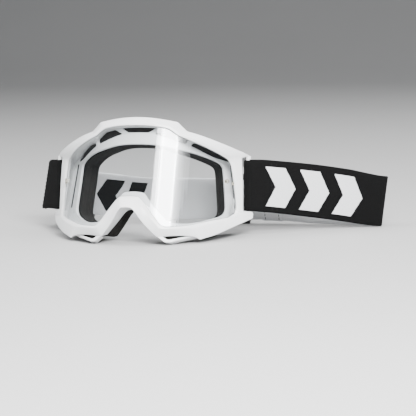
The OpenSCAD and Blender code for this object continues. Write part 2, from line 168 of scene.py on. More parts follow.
def soften(loop, sharp_reach, arc=5, straight=2, gentle=16.0):
    """A closed outline with its corners turned into short curves. Sharp corners keep to sharp_reach
    mm, and those that turn by less than gentle degrees use most of their sides, so a chain of them
    reads as one curve."""
    n, out = len(loop), []
    entry, leave = np.zeros_like(loop), np.zeros_like(loop)
    for i in range(n):
        a, b, c = loop[i - 1], loop[i], loop[(i + 1) % n]
        u, v = b - a, c - b
        lu, lv = np.linalg.norm(u[:2]), np.linalg.norm(v[:2])
        cosine = np.dot(u[:2], v[:2]) / (lu * lv)
        smooth = math.degrees(math.acos(max(-1, min(1, cosine)))) < gentle
        share_u = CORNER_SHARE if smooth else min(CORNER_SHARE, sharp_reach / lu)
        share_v = CORNER_SHARE if smooth else min(CORNER_SHARE, sharp_reach / lv)
        entry[i], leave[i] = b - u * share_u, b + v * share_v
    for i in range(n):
        for t in np.linspace(0, 1, arc):
            out.append((1 - t) ** 2 * entry[i] + 2 * t * (1 - t) * loop[i] + t * t * leave[i])
        following = entry[(i + 1) % n]
        for k in range(1, straight + 1):
            out.append(leave[i] + (following - leave[i]) * k / (straight + 1))
    return np.array(out)


def between(a, b, k):
    return a + k * (b - a)


SHARP_REACH, EYE_REACH = 1.1, 3.0
lens_track = soften(full_ring(LENS), SHARP_REACH)
outer_track = soften(full_ring(OUTER), SHARP_REACH)
back_track = soften(full_ring(BACK), SHARP_REACH)
eye_track = soften(full_ring(EYE), EYE_REACH)


# ---------------------------------------------------------------- mesh helpers
SAME_POINT = 2e-6


def add_mesh(name, verts, faces, materials, sharp):
    """A smooth-shaded mesh object, with its edges sharp beyond that many degrees."""
    mesh = bpy.data.meshes.new(name)
    mesh.from_pydata([tuple(v) for v in np.asarray(verts, float)], [], faces)
    for m in materials:
        mesh.materials.append(m)
    bm = bmesh.new()
    bm.from_mesh(mesh)
    bmesh.ops.remove_doubles(bm, verts=bm.verts, dist=SAME_POINT)
    bmesh.ops.recalc_face_normals(bm, faces=bm.faces)
    bm.to_mesh(mesh)
    bm.free()
    return finish_mesh(name, mesh, sharp)


def finish_mesh(name, mesh, sharp):
    mesh.shade_smooth()
    mesh.set_sharp_from_angle(angle=math.radians(sharp))
    obj = bpy.data.objects.new(name, mesh)
    bpy.context.scene.collection.objects.link(obj)
    return obj


def ring_faces(count, side, closed=True):
    """Quads of a grid of count sections of side points, each section a closed loop."""
    last = count if closed else count - 1
    faces = []
    for i in range(last):
        here, there = i * side, (i + 1) % count * side
        for j in range(side):
            k = (j + 1) % side
            faces.append((here + j, here + k, there + k, there + j))
    return faces


def bezier(a, b, c, count):
    t = np.linspace(0, 1, count)[:, None, None]
    return (1 - t) ** 2 * a + 2 * t * (1 - t) * b + t * t * c


def toward(a, b, reach):
    """Points reach mm from a towards b, at most 45% of the way."""
    step = b - a
    far = np.linalg.norm(step, axis=-1, keepdims=True)
    return a + step * np.minimum(0.45, reach / np.maximum(far, 1e-9))


def rounded_sections(corners, reaches, arcs, spans):
    """Sections through rings of corner points: each corner is rounded by its reach, and each side
    carries spans[k] more points. Returns an array of (ring, point, 3)."""
    n, rows = len(corners), []
    for k in range(n):
        before, here, after = corners[k - 1], corners[k], corners[(k + 1) % n]
        entry, leave = toward(here, before, reaches[k]), toward(here, after, reaches[k])
        rows.extend(bezier(entry, here, leave, arcs[k]))
        following = toward(after, here, reaches[(k + 1) % n])
        for s in range(1, spans[k] + 1):
            rows.append(leave + (following - leave) * s / (spans[k] + 1))
    return np.stack(rows, 1)


def ride(obj, body, slot, *nodes):
    """Puts obj on its body, in place of the CAD nodes it stands for. The slot is not used."""
    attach(obj, body)
    if nodes:
        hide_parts(*nodes)
    return obj


PLATE_SHARP = 40


def plate(name, loops, surface, depth_a, depth_b, rim, materials, cut=2.0):
    """A sheet with holes: flat outlines in X and W, thickened with a rounded rim, sliced across X so
    that it can bend, then laid on a surface between two depths."""
    data = bpy.data.curves.new(name, "CURVE")
    data.dimensions, data.fill_mode = "2D", "BOTH"
    data.extrude = (depth_b - depth_a) / 2 - rim
    data.bevel_depth, data.bevel_resolution, data.offset = rim, 2, -rim
    for loop in loops:
        spline = data.splines.new("POLY")
        spline.points.add(len(loop) - 1)
        for point, (x, w) in zip(spline.points, loop):
            point.co = (x, w, 0, 1)
        spline.use_cyclic_u = True
    temp = bpy.data.objects.new(name + "_outline", data)
    bpy.context.scene.collection.objects.link(temp)
    mesh = bpy.data.meshes.new_from_object(temp.evaluated_get(bpy.context.evaluated_depsgraph_get()))
    bpy.data.objects.remove(temp)
    bm = bmesh.new()
    bm.from_mesh(mesh)
    bmesh.ops.remove_doubles(bm, verts=bm.verts, dist=0.004)
    xs = [v.co.x for v in bm.verts]
    for x in np.arange(math.floor(min(xs)), max(xs), cut):
        geom = bm.verts[:] + bm.edges[:] + bm.faces[:]
        bmesh.ops.bisect_plane(bm, geom=geom, dist=0.001, plane_co=(x, 0, 0), plane_no=(1, 0, 0))
    flat = np.array([v.co for v in bm.verts])
    middle = (depth_a + depth_b) / 2
    placed = to_row(surface(flat[:, :2], flat[:, 2] + middle))
    for v, p in zip(bm.verts, placed):
        v.co = p
    bmesh.ops.recalc_face_normals(bm, faces=bm.faces)
    bm.to_mesh(mesh)
    bm.free()
    mesh.name = name
    mesh.materials.clear()
    for m in materials:
        mesh.materials.append(m)
    return finish_mesh(name, mesh, PLATE_SHARP)


def inset(loop, gap):
    """The closed outline moved inwards by gap."""
    loop = np.asarray(loop, float)
    ahead, behind = np.roll(loop, -1, 0), np.roll(loop, 1, 0)
    along = ahead - behind
    along /= np.maximum(np.linalg.norm(along, axis=1, keepdims=True), 1e-9)
    area = np.sum(loop[:, 0] * ahead[:, 1] - ahead[:, 0] * loop[:, 1])
    normal = np.stack([along[:, 1], -along[:, 0]], -1) * -np.sign(area)
    return loop + gap * normal


def mirrored(loop):
    return [(-x, w) for x, w in reversed(loop)]


def rounded_outline(points, reach=1.0):
    return soften(np.array(points, float), reach, arc=4, straight=0, gentle=5)


# ---------------------------------------------------------------- material helpers
class Nodes:
    """A short way to write a node tree."""

    def __init__(self, name):
        self.material = bpy.data.materials.new(name)
        self.material.use_nodes = True
        self.tree = self.material.node_tree
        self.tree.nodes.clear()
        self.out = self.tree.nodes.new("ShaderNodeOutputMaterial")

    def add(self, kind, inputs=None, **settings):
        node = self.tree.nodes.new("ShaderNode" + kind)
        for key, value in settings.items():
            setattr(node, key, value)
        for key, value in (inputs or {}).items():
            self.put(node.inputs[key], value)
        return node

    def put(self, socket, value):
        if isinstance(value, bpy.types.NodeSocket):
            self.tree.links.new(value, socket)
        elif isinstance(value, bpy.types.Node):
            self.tree.links.new(value.outputs[0], socket)
        else:
            socket.default_value = value

    def math(self, operation, a, b=0.0, c=0.0):
        return self.add("Math", {0: a, 1: b, 2: c}, operation=operation).outputs[0]

    def mix(self, factor, a, b):
        node = self.tree.nodes.new("ShaderNodeMix")
        node.data_type = "RGBA"
        self.put(node.inputs[0], factor)
        self.put(node.inputs[6], a)
        self.put(node.inputs[7], b)
        return node.outputs[2]

    def noise(self, scale, detail=2.0, vector=None):
        inputs = {"Scale": scale, "Detail": detail}
        if vector is not None:
            inputs["Vector"] = vector
        return self.add("TexNoise", inputs).outputs[0]

    def ramp(self, value, low, high, a=0.0, b=1.0):
        node = self.add("MapRange", {0: value, 1: low, 2: high, 3: a, 4: b})
        return node.outputs[0]

    def bump(self, height, distance, strength=1.0):
        inputs = {"Height": height, "Distance": distance, "Strength": strength}
        return self.add("Bump", inputs).outputs[0]

    def finish(self, shader):
        self.put(self.out.inputs["Surface"], shader)
        return self.material


def grey(value, tint=(1.0, 1.0, 1.0)):
    return tuple(value * t for t in tint) + (1.0,)


def object_coordinates(n):
    return n.add("TexCoord").outputs["Object"]


def make_frame_white():
    """Soft moulded polyurethane: satin, slightly cool, with faint moulding texture, and painted shade
    darkening its creases.
    """
    n = Nodes("frame_white")
    at = object_coordinates(n)
    cloud = n.noise(28, 3, at)
    colour = n.mix(cloud, grey(0.76, (0.985, 0.995, 1.0)), grey(0.84, (0.99, 0.997, 1.0)))
    # Painted shade: the white is mixed darker in creases and hollows, where pointiness is low, and stays
    # plain on ridges.
    edge = n.ramp(n.add("NewGeometry").outputs["Pointiness"], 0.46, 0.56)
    colour = n.mix(edge, n.mix(0.35, colour, grey(0.6, (0.97, 0.99, 1.0))), colour)
    fine = n.noise(2600, 2, at)
    rough = n.ramp(n.noise(60, 4, at), 0.3, 0.7, 0.27, 0.38)
    shader = n.add(
        "BsdfPrincipled",
        {
            "Base Color": colour,
            "Roughness": rough,
            "IOR": 1.49,
            "Subsurface Weight": 0.08,
            "Subsurface Radius": (0.004, 0.0038, 0.0036),
            "Subsurface Scale": 0.5,
            "Normal": n.bump(fine, 0.00002, 0.5),
        },
    )
    return n.finish(shader.outputs[0])


def make_lens_clear():
    """A thin clear sheet: what is behind shows straight through, under a sharp reflection."""
    n = Nodes("lens_clear")
    smudge = n.noise(35, 5, object_coordinates(n))
    grazing = n.add("LayerWeight", {"Blend": 0.5}).outputs["Facing"]
    share = n.math("MULTIPLY_ADD", n.math("POWER", grazing, 5), 0.95, 0.05)
    through = n.add("BsdfTransparent", {"Color": (0.955, 0.962, 0.965, 1)})
    gloss = n.add(
        "BsdfGlossy",
        {"Color": (0.97, 0.985, 1.0, 1), "Roughness": n.ramp(smudge, 0.35, 0.7, 0.035, 0.075)},
    )
    both = n.add("MixShader", {0: share, 1: through.outputs[0], 2: gloss.outputs[0]})
    return n.finish(both.outputs[0])


def make_lens_rim():
    """The lens's cut edge, where light gathers in the sheet."""
    n = Nodes("lens_rim")
    saw = n.noise(900, 3, object_coordinates(n))
    shader = n.add(
        "BsdfPrincipled",
        {
            "Base Color": n.mix(saw, grey(0.3, (0.92, 0.97, 1.0)), grey(0.46, (0.94, 0.98, 1.0))),
            "Roughness": n.ramp(saw, 0.3, 0.7, 0.25, 0.5),
            "Transmission Weight": 0.35,
            "IOR": 1.58,
        },
    )
    return n.finish(shader.outputs[0])


def make_post_clear():
    n = Nodes("post_clear")
    glass = n.add("BsdfGlass", {"Color": (0.96, 0.94, 0.88, 1), "Roughness": 0.04, "IOR": 1.55})
    return n.finish(glass.outputs[0])


def make_foam(name, low, high, cell):
    """Open-cell foam: dark, dull, with small pores."""
    n = Nodes(name)
    at = object_coordinates(n)
    pores = n.add("TexVoronoi", {"Vector": at, "Scale": 1 / cell}).outputs["Distance"]
    lumps = n.noise(0.25 / cell, 4, at)
    colour = n.mix(n.ramp(pores, 0.1, 0.6), grey(low, (1, 0.95, 0.9)), grey(high, (1, 0.95, 0.88)))
    height = n.math("ADD", n.math("MULTIPLY", pores, 1.0), n.math("MULTIPLY", lumps, 0.8))
    shader = n.add(
        "BsdfPrincipled",
        {
            "Base Color": colour,
            "Roughness": 0.95,
            "Specular IOR Level": 0.04,
            "Sheen Weight": 0.02,
            "Sheen Roughness": 0.6,
            "Normal": n.bump(height, 0.0003, 0.9),
        },
    )
    return n.finish(shader.outputs[0])


# Strap graphic, in metres along (u) and across (v) the strap
WEB_W, WEB_T = 45.0, 2.0
CELL_U, CELL_V = 0.00062, 0.00052
CHEVRON_ARM, CHEVRON_SLOPE, CHEVRON_HIGH = 0.018, 0.55, 0.034
# first point along the strap, pitch and number of chevrons, on the left run and the right half
CHEVRONS = [(0.024, 0.031, 3), (0.354, 0.0295, 2)]


def snapped(n, value, cell):
    return n.math("MULTIPLY", n.math("ROUND", n.math("DIVIDE", value, cell)), cell)


def weave_coordinates(n):
    uv = n.add("SeparateXYZ", {0: n.add("TexCoord").outputs["UV"]})
    return uv.outputs[0], uv.outputs[1]


def graphic_mask(n, u, v):
    """1 inside the chevrons. The weave swaps its two yarns there, so both faces show them."""
    us, vs = snapped(n, u, CELL_U), snapped(n, v, CELL_V)
    off_middle = n.math("ABSOLUTE", n.math("SUBTRACT", vs, WEB_W * MM / 2))
    inside_v = n.math("LESS_THAN", off_middle, CHEVRON_HIGH / 2)
    total = None
    for start, pitch, count in CHEVRONS:
        along = n.math("SUBTRACT", us, start)
        leaning = n.math("ADD", along, n.math("MULTIPLY", off_middle, CHEVRON_SLOPE))
        which = n.math("FLOOR", n.math("DIVIDE", leaning, pitch))
        place = n.math("SUBTRACT", leaning, n.math("MULTIPLY", which, pitch))
        bar = n.math("LESS_THAN", place, CHEVRON_ARM)
        low = n.math("GREATER_THAN", which, -0.5)
        high = n.math("LESS_THAN", which, count - 0.5)
        group = n.math("MULTIPLY", n.math("MULTIPLY", bar, low), n.math("MULTIPLY", high, inside_v))
        total = group if total is None else n.math("MAXIMUM", total, group)
    return total


def make_web(name, ground, figure, sheen):
    """Woven jacquard elastic: ribs across and rows along, with figures in the second yarn."""
    n = Nodes(name)
    u, v = weave_coordinates(n)
    mask = graphic_mask(n, u, v)
    ribs = n.math("SINE", n.math("MULTIPLY", u, 2 * math.pi / CELL_U))
    rows = n.math("SINE", n.math("MULTIPLY", v, 2 * math.pi / CELL_V))
    knit = n.math("MULTIPLY", n.math("ADD", ribs, 1), n.math("ADD", rows, 1))
    yarn = n.noise(900, 2, n.add("CombineXYZ", {0: u, 1: v}))
    shade = n.math("ADD", n.math("MULTIPLY", knit, 0.1), n.math("MULTIPLY", yarn, 0.7))
    low = n.mix(mask, grey(ground[0], ground[2]), grey(figure[0], figure[2]))
    high = n.mix(mask, grey(ground[1], ground[2]), grey(figure[1], figure[2]))
    colour = n.mix(n.ramp(shade, 0.2, 0.85), low, high)
    height = n.math("ADD", knit, n.math("MULTIPLY", mask, 1.2))
    shader = n.add(
        "BsdfPrincipled",
        {
            "Base Color": colour,
            "Roughness": 0.9,
            "Specular IOR Level": 0.06,
            "Sheen Weight": sheen,
            "Sheen Roughness": 0.45,
            "Normal": n.bump(height, 0.00009, 0.8),
        },
    )
    return n.finish(shader.outputs[0])


def make_thread(name, colour):
    n = Nodes(name)
    twist = n.noise(3000, 2, object_coordinates(n))
    shader = n.add(
        "BsdfPrincipled",
        {
            "Base Color": n.mix(twist, grey(colour * 0.7), grey(colour)),
            "Roughness": 0.85,
            "Specular IOR Level": 0.1,
            "Normal": n.bump(twist, 0.00008, 0.6),
        },
    )
    return n.finish(shader.outputs[0])


def make_black_plastic():
    n = Nodes("adjuster_black")
    at = object_coordinates(n)
    grain = n.noise(1500, 3, at)
    shader = n.add(
        "BsdfPrincipled",
        {
            "Base Color": n.mix(grain, grey(0.012), grey(0.022)),
            "Roughness": n.ramp(n.noise(90, 3, at), 0.3, 0.7, 0.3, 0.48),
            "Normal": n.bump(grain, 0.00004, 0.5),
        },
    )
    return n.finish(shader.outputs[0])


# ---------------------------------------------------------------- frame shell
LIP, SHELL_BACK, SHELL_FRONT, SEAT_SHARE = 1.0, 4.0, -0.6, 0.35
FACE_POINTS = 7
CROWN = 0.25
RIDGE_AT, RIDGE_HIGH = 0.26, 1.4


def build_shell(white):
    p, q, b = lens_track, outer_track, back_track
    lens_edge = np.stack([p[:, 0], lens_v(p[:, 0]) - LIP, p[:, 1]], -1)
    seat = on_flange(between(p, b, SEAT_SHARE), SHELL_FRONT)
    rear = on_flange(b, SHELL_BACK)
    outer = np.stack([q[:, 0], arc_v(q[:, 0], OUTER_R) + q[:, 2], q[:, 1]], -1)
    ridge = between(lens_edge, outer, RIDGE_AT)
    ridge[:, 1] -= RIDGE_HIGH
    corners = [seat, lens_edge, ridge, outer, rear]
    reaches, arcs = [0.5, 0.35, 0.3, 1.0, 1.0], [3, 4, 4, 6, 4]
    sections = rounded_sections(corners, reaches, arcs, [2, 2, FACE_POINTS, 4, 2])
    face_from = 3 + 2 + 4 + 2 + 4
    for k in range(FACE_POINTS):
        share = (k + 1) / (FACE_POINTS + 1)
        sections[:, face_from + k, 1] -= CROWN * math.sin(math.pi * share)
    count, side = sections.shape[:2]
    verts = to_row(sections.reshape(-1, 3))
    shell = add_mesh("frame_shell_moulded", verts, ring_faces(count, side), [white], sharp=50)
    return ride(shell, "root", "frame_white", "frame_shell")


# ---------------------------------------------------------------- face flange, blades, filters
CENTRE_VENT = [(-16, 64), (16, 64), (9.5, 59.6), (-9.5, 59.6)]
BROW_VENT = [(23.5, 63.2), (34, 62.2), (39, 59.8), (42, 56), (40, 52.4), (15, 58.6)]
TEMPLE_VENT = [(44, 51.6), (46, 55), (55, 54.2), (66, 50.2), (71.4, 47.4), (72, 45), (60, 45.8)]
SIDE_SLOT = [(71.2, 43), (73.6, 43), (79.2, 3.3), (76.8, 3.3)]
BLADE = [(55.5, -30.5), (36.2, -38.3), (31.5, -38.3), (25.5, -34), (30, -33.4), (33.2, -35.8),
         (35.6, -35.8), (49.5, -31)]
TOP_FILTER = [(0, 64.6), (24, 63.6), (35, 61), (40.6, 56.6), (46, 55.2), (56, 54.1), (66.6, 50.3),
              (72, 47.9), (72.6, 44.6), (60, 45.4), (44, 50.6), (36, 51.2), (0, 57.6)]
SIDE_FILTER = [(71, 43.3), (74.4, 43.3), (79.6, 3.1), (75.6, 3.1)]
BOTTOM_FILTER = [(48, -31.4), (46, -30.6), (36, -32.2), (31.6, -33), (31.6, -34.6), (33.4, -35.6),
                 (35.5, -35.6)]
BLADE_FRONT, BLADE_REAR = 4.0, 11.8


def build_flange(white):
    outer = between(eye_track, back_track, 0.97)
    loops = [outer, eye_track, rounded_outline(CENTRE_VENT)]
    for vent, reach in ((BROW_VENT, 1.4), (TEMPLE_VENT, 1.2), (SIDE_SLOT, 0.8)):
        loops += [rounded_outline(vent, reach), rounded_outline(mirrored(vent), reach)]
    flange = plate("face_flange_moulded", loops, on_flange, 0, FLANGE_T, 0.55, [white])
    return ride(flange, "root", "frame_white", "face_flange")


def build_blades(white):
    for side, loop in (("left", BLADE), ("right", mirrored(BLADE))):
        name = "vent_blade_" + side
        loops = [rounded_outline(loop, 0.7)]
        blade = plate(name + "_moulded", loops, on_lens, BLADE_FRONT, BLADE_REAR, 0.45, [white])
        ride(blade, "root", "frame_white", name)


BULGE_GAP, VENT_BULGE, SLOT_BULGE = 0.2, 0.7, 0.15


def join(objects, name):
    """One object from several meshes that share their materials."""
    bm = bmesh.new()
    for obj in objects:
        bm.from_mesh(obj.data)
    mesh = objects[0].data
    bm.to_mesh(mesh)
    bm.free()
    mesh.shade_smooth()
    mesh.set_sharp_from_angle(angle=math.radians(PLATE_SHARP))
    for obj in objects[1:]:
        bpy.data.objects.remove(obj)
    objects[0].name = name
    return objects[0]


def bulge(name, vent, front, foam):
    """The foam swells into a vent, up to front below the flange's front face."""
    outline = inset(rounded_outline(vent, 1.2), BULGE_GAP)
    return plate(name, [outline], on_flange, front, FLANGE_T + FILTER_GAP, 0.3, [foam])


def build_filters(foam):
    near, far = FLANGE_T + FILTER_GAP, FLANGE_T + FILTER_T
    both = [CENTRE_VENT] + [turn(v) for v in (BROW_VENT, TEMPLE_VENT) for turn in (list, mirrored)]
    top = TOP_FILTER + [(-x, w) for x, w in reversed(TOP_FILTER) if x > 0]
    jobs = [("top_filter_foam", top, on_flange, near, far, both, VENT_BULGE)]
    for side, turn in (("left", list), ("right", mirrored)):
        slot = [turn(SIDE_SLOT)]
        jobs.append(("side_filter_foam_" + side, turn(SIDE_FILTER), on_flange, near, far, slot,
                     SLOT_BULGE))
        low = (BLADE_FRONT + 3, BLADE_REAR - 0.5)
        jobs.append(("bottom_filter_foam_" + side, turn(BOTTOM_FILTER), on_lens, *low, [], 0))
    for name, loop, surface, a, b, vents, front in jobs:
        parts = [plate(name + "_slab", [rounded_outline(loop, 0.6)], surface, a, b, 0.25, [foam])]
        parts += [bulge("%s_%d" % (name, k), vent, front, foam) for k, vent in enumerate(vents)]
        ride(join(parts, name + "_cut"), "root", "filter_foam", name)


# ---------------------------------------------------------------- lens and posts
LENS_GAP = 0.35
POST_X, POST_W = 73.8, 23.1
# A post's outline: radius and height, from the lens outwards
POST_PROFILE = [(0.0, -0.1), (1.65, -0.1), (1.6, 0.5), (1.45, 1.1), (1.55, 1.5), (1.95, 1.75),
                (2.0, 2.0), (1.85, 2.28), (1.4, 2.38), (0.7, 2.4), (0.0, 2.4)]
POST_SIDES = 40
# A low boss outboard of each post
BOSS_X, BOSS_SHARE = 77.6, 0.6


def build_lens(clear, rim):
    loop = inset(lens_track, LENS_GAP)
    lens = plate("lens_sheet", [loop], on_lens, 0, LENS_T, 0.25, [clear, rim], cut=1.5)
    for face in lens.data.polygons:
        centre = face.center / MM
        v = (centre.y - LEAN_Y) * math.cos(LEAN) - (centre.z - LEAN_Z) * math.sin(LEAN)
        depth = v - lens_v(centre.x)
        face.material_index = int(0.05 < depth < LENS_T - 0.05)
    return ride(lens, "lens_unit", "lens_clear", "lens")


def turned_on_lens(at_x, side, share):
    """A small turned form standing on the lens, at share of the post's size: (verts, faces)."""
    turn = math.asin(at_x / LENS_R)
    out = np.array([side * math.sin(turn), -math.cos(turn), 0])
    across = np.array([math.cos(turn), side * math.sin(turn), 0])
    up = np.array([0, 0, 1.0])
    foot = np.array([side * at_x, lens_v(at_x), POST_W])
    angles = np.linspace(0, 2 * math.pi, POST_SIDES, endpoint=False)
    rings = [
        [foot + share * (out * h + max(r, 0.02) * (across * math.cos(a) + up * math.sin(a)))
         for a in angles]
        for r, h in POST_PROFILE
    ]
    verts = to_row(np.array(rings).reshape(-1, 3))
    faces = ring_faces(len(POST_PROFILE), POST_SIDES, closed=False)
    faces += [tuple(range(POST_SIDES))[::-1]]
    faces += [tuple(range(len(verts) - POST_SIDES, len(verts)))]
    return verts, faces


def build_posts(clear):
    for name, side in (("left", 1), ("right", -1)):
        verts, faces = turned_on_lens(POST_X, side, 1.0)
        boss_verts, boss_faces = turned_on_lens(BOSS_X, side, BOSS_SHARE)
        faces += [tuple(i + len(verts) for i in face) for face in boss_faces]
        node = "tear_off_post_" + name
        post = add_mesh(node + "_turned", np.concatenate([verts, boss_verts]), faces, [clear], sharp=60)
        ride(post, "lens_unit", "lens_clear", node)


# ---------------------------------------------------------------- strap bars
def build_bars(white):
    for name in ("strap_bar_left", "strap_bar_right"):
        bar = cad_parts[name]
        bar.data.materials.clear()
        bar.data.materials.append(white)


# ---------------------------------------------------------------- face foam
FOAM_START = FLANGE_T + FILTER_T + 3 * FILTER_GAP
BASE_T, SOFT_T, FLEECE_T, LAYER_GAP = 6.5, 5.0, 1.4, 0.15


def build_foam(foam, fleece):
    base_end = FOAM_START + BASE_T
    soft_end = base_end + SOFT_T
    layers = [
        ("face_foam_base", FOAM_START, base_end, 0.03, 0.9, 1.0, foam, "face_foam"),
        ("face_foam_soft", base_end + LAYER_GAP, soft_end, 0.045, 0.885, 1.6, foam, "face_foam"),
        ("face_fleece", soft_end + LAYER_GAP, soft_end + FLEECE_T, 0.03, 0.9, 0.6, fleece, "fleece"),
    ]
    for node, near, far, inner_share, outer_share, reach, material, slot in layers:
        inner = between(eye_track, back_track, inner_share)
        outer = between(eye_track, back_track, outer_share)
        corners = [on_flange(inner, near), on_flange(inner, far), on_flange(outer, far),
                   on_flange(outer, near)]
        edge = 0.5
        sections = rounded_sections(corners, [edge, reach, reach, edge], [3, 5, 5, 3], [3, 4, 3, 4])
        count, side = sections.shape[:2]
        layer = add_mesh(node + "_soft", to_row(sections.reshape(-1, 3)),
                         ring_faces(count, side), [material], sharp=70)
        ride(layer, "root", slot, node)


# ---------------------------------------------------------------- strap
BAR_R = 2.2
BAR_LOW, BAR_HIGH = np.array([88.7, 52.5, 21.6]), np.array([88.7, 56.46, 67.2])
bar_dir = (BAR_HIGH - BAR_LOW) / np.linalg.norm(BAR_HIGH - BAR_LOW)
LOOP_R = BAR_R + 0.08 + WEB_T / 2
OUT_ANGLE = math.radians(31 - 90)


def loop_edge(angle):
    return BAR_LOW + LOOP_R * np.array([math.cos(angle), math.sin(angle), 0])


def across_x(v):
    return np.array([-v[0], v[1], v[2]])


front_start = loop_edge(OUT_ANGLE)
FRONT_EDGE = [front_start, (108, 59.8, 18.8), (128, 72.2, 14.8), (155, 88.7, 9), (180, 103.2, 3.2)]
FRONT_UP = [bar_dir, (0, 2, 45), (1.5, 2, 45), (3.5, 1.5, 45), (5, 1, 45)]
# middle of the lower edge, top lean, tilt, turn, spacing of the stations
LEFT_RUN = ((64, 121, 4.2), 26, 0, 2, 12)
RIGHT_RUN = ((-78, 114.5, 8), 20, 7, 12, 10.2)
FOLD_EDGE = [(189.5, 108.4, 1.3), (194.5, 111.6, 0.7), (194.3, 116.2, 0.3), (188, 118.3, 0.2),
             (172, 119.5, 0.2), (150, 119.8, 0.6), (128, 120, 1.6), (110, 121.2, 3)]
FOLD_UP = [(6, 1, 45), (6.5, 1, 45), (6.3, 0, 45), (6, -2, 45), (5, -5, 45), (3.5, -10, 44),
           (2, -15, 43), (1, -19, 42)]
MIDDLE_EDGE = [(16, 119.4, 3.8), (-6, 120.2, 3.4), (-26, 122, 3.5), (-42, 121.6, 4.2)]
MIDDLE_UP = [(0, -19, 42), (-0.5, -18.5, 42), (0.5, -17.5, 42), (3, -16.5, 42)]
BEND_EDGE = [(-111, 103, 13.6), (-116, 94, 16), (-117, 85, 17.3), (-115.5, 77, 18)]
BEND_UP = [(8, -10, 43), (10, -6, 44), (11, -3, 44), (10, -1, 44.5)]
SIDE_EDGE = [(-111, 67.5, 19.8), (-102, 57.5, 21.2), across_x(front_start)]
SIDE_UP = [(8, 1, 44.5), (4, 2, 45), across_x(bar_dir)]


def turned(v, turn):
    c, s = math.cos(turn), math.sin(turn)
    return np.array([v[0] * c - v[1] * s, v[0] * s + v[1] * c, v[2]])


RUN_PLACES = (2.5, 1.5, 0.5, -0.5, -1.5, -2.5)
# One more station keeps the right run straight as far as its adjuster slides
RIGHT_PLACES = (2.5, 1.5, 0.5, -0.5, -1.5, -2.25, -2.5)


def run_points(run, places):
    middle, _, tilt, turn, spacing = run
    b, t = math.radians(tilt), math.radians(turn)
    along = turned((math.cos(b), 0, -math.sin(b)), t)
    return [np.array(middle) + k * spacing * along for k in places]


def run_ups(run, places):
    lean, b, t = (math.radians(x) for x in run[1:4])
    up = turned((math.cos(lean) * math.sin(b), -math.sin(lean), math.cos(lean) * math.cos(b)), t)
    return [up] * len(places)


def unit(v):
    return v / np.linalg.norm(v, axis=-1, keepdims=True)


def curve(points, steps):
    p = [np.array(x, float) for x in points]
    n, out = len(p), []
    for i in range(n - 1):
        a, b, c, d = p[max(i - 1, 0)], p[i], p[i + 1], p[min(i + 2, n - 1)]
        for k in range(steps):
            t = k / steps
            out.append(0.5 * (2 * b + t * (c - a) + t * t * (2 * a - 5 * b + 4 * c - d)
                              + t**3 * (3 * b - a - 3 * c + d)))
    return np.array(out + [p[-1]])


STEPS = 10
BACK_EDGES = FOLD_EDGE + run_points(LEFT_RUN, RUN_PLACES) + MIDDLE_EDGE
BACK_EDGES += run_points(RIGHT_RUN, RIGHT_PLACES) + BEND_EDGE
BACK_UPS = FOLD_UP + run_ups(LEFT_RUN, RUN_PLACES) + MIDDLE_UP
BACK_UPS += run_ups(RIGHT_RUN, RIGHT_PLACES) + BEND_UP
strap_edge = curve(FRONT_EDGE + BACK_EDGES + SIDE_EDGE, STEPS)
strap_up = unit(curve([unit(np.array(u, float)) for u in FRONT_UP + BACK_UPS + SIDE_UP], STEPS))


def directions(edge, up):
    along = unit(np.concatenate([edge[1:2] - edge[:1], edge[2:] - edge[:-2], edge[-1:] - edge[-2:-1]]))
    return along, unit(np.cross(along, up))


strap_along, strap_out = directions(strap_edge, strap_up)

# A strap's cross-section, [outwards, up the width]: outer face, top edge, inner face, lower edge
EDGE_ARC = 4
FACE_ROWS = 14


def band_profile(thick, width):
    half, points, kinds = thick / 2, [], []
    r = half * 0.8
    for k in range(FACE_ROWS + 1):
        points.append((half, r + (width - 2 * r) * k / FACE_ROWS))
        kinds.append(0)
    for k in range(1, EDGE_ARC):
        a = math.pi * k / EDGE_ARC
        points.append((half * math.cos(a), width - r + r * math.sin(a)))
        kinds.append(int(k > EDGE_ARC / 2))
    for k in range(FACE_ROWS + 1):
        points.append((-half, width - r - (width - 2 * r) * k / FACE_ROWS))
        kinds.append(1)
    for k in range(1, EDGE_ARC):
        a = math.pi * (1 + k / EDGE_ARC)
        points.append((half * math.cos(a), r + r * math.sin(a)))
        kinds.append(int(k < EDGE_ARC / 2))
    return points, kinds


